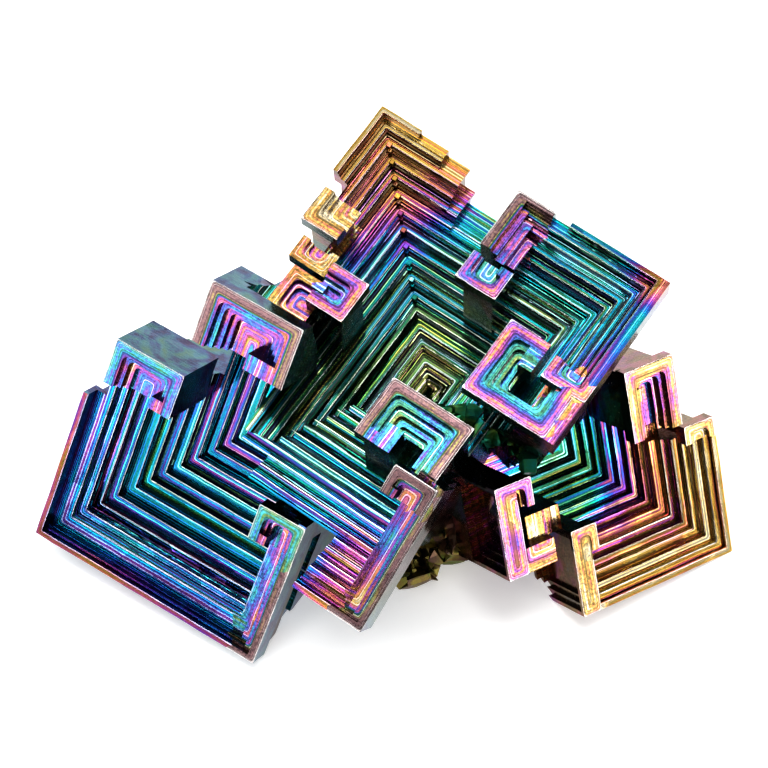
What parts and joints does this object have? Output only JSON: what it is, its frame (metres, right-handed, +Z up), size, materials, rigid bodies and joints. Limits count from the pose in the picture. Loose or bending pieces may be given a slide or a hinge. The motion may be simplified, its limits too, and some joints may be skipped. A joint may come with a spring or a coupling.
{
  "type": "bismuth hopper crystal",
  "caption": "Cluster of stepped hopper crystals grown together as one piece, with square spiral terraces and hooked rims, standing on a flat cut underside.",
  "frame": {"origin": "centre of the bounding box on the flat underside that the crystal rests on", "axes": "+Z up, +X towards the right grain, -Y towards the viewer of the picture; the longest extent is along X"},
  "size_m": [0.0612, 0.043, 0.0299],
  "materials": {
    "bismuth": "bare bismuth under an oxide film whose colours run from gold over pink, purple and blue to teal and green"
  },
  "bodies": {
    "root": {"bismuth_crystal": "bismuth"}
  },
  "joints": []
}
